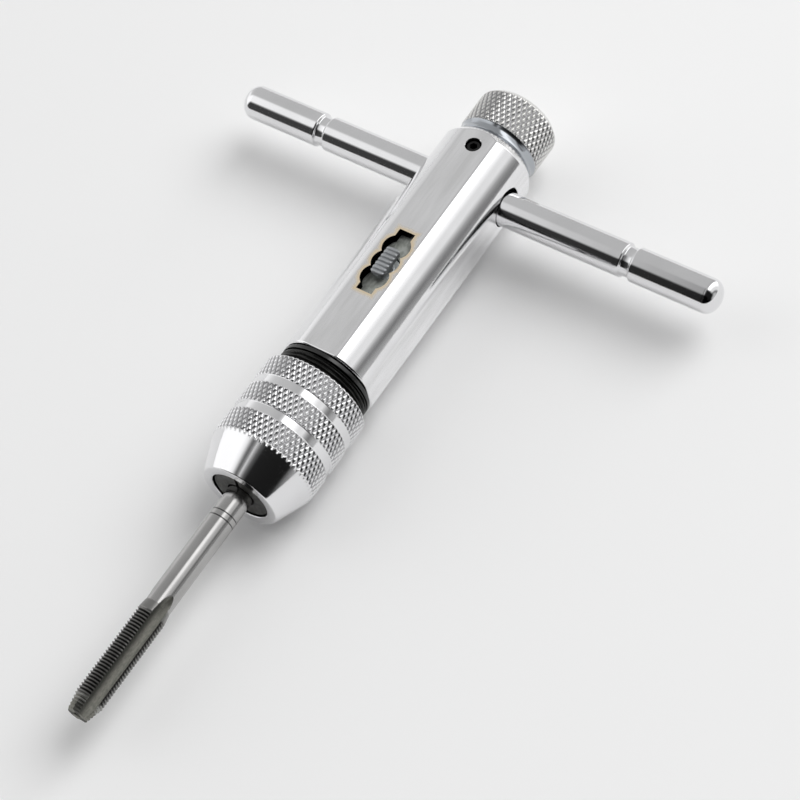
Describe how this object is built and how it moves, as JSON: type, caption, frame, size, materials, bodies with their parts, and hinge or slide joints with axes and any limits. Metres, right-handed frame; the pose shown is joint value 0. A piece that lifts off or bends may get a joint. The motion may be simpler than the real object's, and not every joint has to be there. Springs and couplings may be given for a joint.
{
  "type": "ratchet tap wrench",
  "caption": "Reversible ratchet tap wrench with a sliding T bar, a knurled clamp knob, a three-position selector and a screw-down jaw chuck holding a tap.",
  "frame": {"origin": "on the back flat of the housing, straight under the crossing of the body axis and the T bar's axis", "axes": "+Z out of the flat that carries the selector window, +Y along the body axis from the tap to the clamp knob, +X along the T bar"},
  "size_m": [0.1236, 0.169, 0.025],
  "materials": {
    "chrome_housing": "bright chrome, flats brushed satin",
    "chrome_bar": "bright chrome",
    "chrome_knob": "bright chrome, diamond knurl",
    "plunger_brass": "turned",
    "black_screw": "black oxide",
    "slide_steel": "ground, oiled",
    "button_steel": "satin, ribbed",
    "spring_steel": "bright wire",
    "pawl_steel": "hardened, grey",
    "black_oxide": "black oxide, lightly oiled",
    "ring_steel": "spring wire",
    "washer_steel": "bright",
    "chrome_sleeve": "bright chrome, three knurled bands",
    "o_ring_rubber": "matt black",
    "jaw_steel": "dark, phosphated",
    "tap_steel": "ground shank, grey flutes"
  },
  "bodies": {
    "body": {"housing": "chrome_housing", "plunger_screw": "black_screw", "thrust_washer": "washer_steel", "snap_ring": "ring_steel"},
    "bar": {"handle_bar": "chrome_bar"},
    "knob": {"clamp_knob": "chrome_knob"},
    "plunger": {"clamp_plunger": "plunger_brass"},
    "selector": {"selector_slide": "slide_steel", "button_spring": "spring_steel", "pawl_spring_forward": "spring_steel", "pawl_spring_reverse": "spring_steel"},
    "button": {"thumb_button": "button_steel"},
    "forward_pawl": {"pawl_forward": "pawl_steel"},
    "reverse_pawl": {"pawl_reverse": "pawl_steel"},
    "spindle": {"spindle": "black_oxide"},
    "drag_ring": {"sleeve_o_ring": "o_ring_rubber"},
    "sleeve": {"jaw_sleeve": "chrome_sleeve"},
    "left_jaw": {"jaw_left": "jaw_steel", "jaw_spring_upper": "spring_steel", "jaw_spring_lower": "spring_steel"},
    "right_jaw": {"jaw_right": "jaw_steel"},
    "tap": {"tap": "tap_steel"}
  },
  "joints": [
    {"name": "bar_slide", "type": "slide", "parent": "body", "child": "bar", "axis": [1, 0, 0], "range_m": [-0.0423, 0.0375]},
    {"name": "knob_turn", "type": "hinge", "parent": "body", "child": "knob", "pos_m": [0, 0.015, 0.0105], "axis": [0, -1, 0], "range_deg": [0, 90]},
    {"name": "plunger_press", "type": "slide", "parent": "body", "child": "plunger", "axis": [0, -1, 0], "range_m": [0, 0.00025]},
    {"name": "selector_shift", "type": "slide", "parent": "body", "child": "selector", "axis": [0, 1, 0], "range_m": [-0.0043, 0.0043]},
    {"name": "button_press", "type": "slide", "parent": "selector", "child": "button", "axis": [0, 0, -1], "range_m": [0, 0.0009], "stiffness_N_per_m": 800, "springref_m": -0.0005, "deforming": ["button_spring"]},
    {"name": "forward_pawl_lift", "type": "slide", "parent": "selector", "child": "forward_pawl", "axis": [0, 0, 1], "range_m": [0, 0.0009], "stiffness_N_per_m": 500, "springref_m": -0.0005, "deforming": ["pawl_spring_forward"]},
    {"name": "reverse_pawl_lift", "type": "slide", "parent": "selector", "child": "reverse_pawl", "axis": [0, 0, 1], "range_m": [0, 0.0009], "stiffness_N_per_m": 500, "springref_m": -0.0005, "deforming": ["pawl_spring_reverse"]},
    {"name": "spindle_turn", "type": "hinge", "parent": "body", "child": "spindle", "pos_m": [0, -0.05, 0.0105], "axis": [0, 1, 0], "continuous": true},
    {"name": "sleeve_advance", "type": "slide", "parent": "spindle", "child": "drag_ring", "axis": [0, -1, 0], "range_m": [0, 0.003]},
    {"name": "sleeve_turn", "type": "hinge", "parent": "drag_ring", "child": "sleeve", "pos_m": [0, -0.075, 0.0105], "axis": [0, -1, 0], "range_deg": [0, 1080]},
    {"name": "left_jaw_open", "type": "slide", "parent": "spindle", "child": "left_jaw", "axis": [-1, 0, 0], "range_m": [0, 0.00117]},
    {"name": "right_jaw_open", "type": "slide", "parent": "spindle", "child": "right_jaw", "axis": [1, 0, 0], "range_m": [0, 0.00117]},
    {"name": "tap_pull_out", "type": "slide", "parent": "spindle", "child": "tap", "axis": [0, -1, 0], "range_m": [0, 0.012]}
  ],
  "couplings": [
    {"joint": "plunger_press", "follows": "knob_turn", "m_per_rad": 0.00015915},
    {"joint": "sleeve_advance", "follows": "sleeve_turn", "m_per_rad": 0.00015915},
    {"joint": "left_jaw_open", "follows": "sleeve_turn", "m_per_rad": 0.000062008},
    {"joint": "right_jaw_open", "follows": "sleeve_turn", "m_per_rad": 0.000062008}
  ]
}
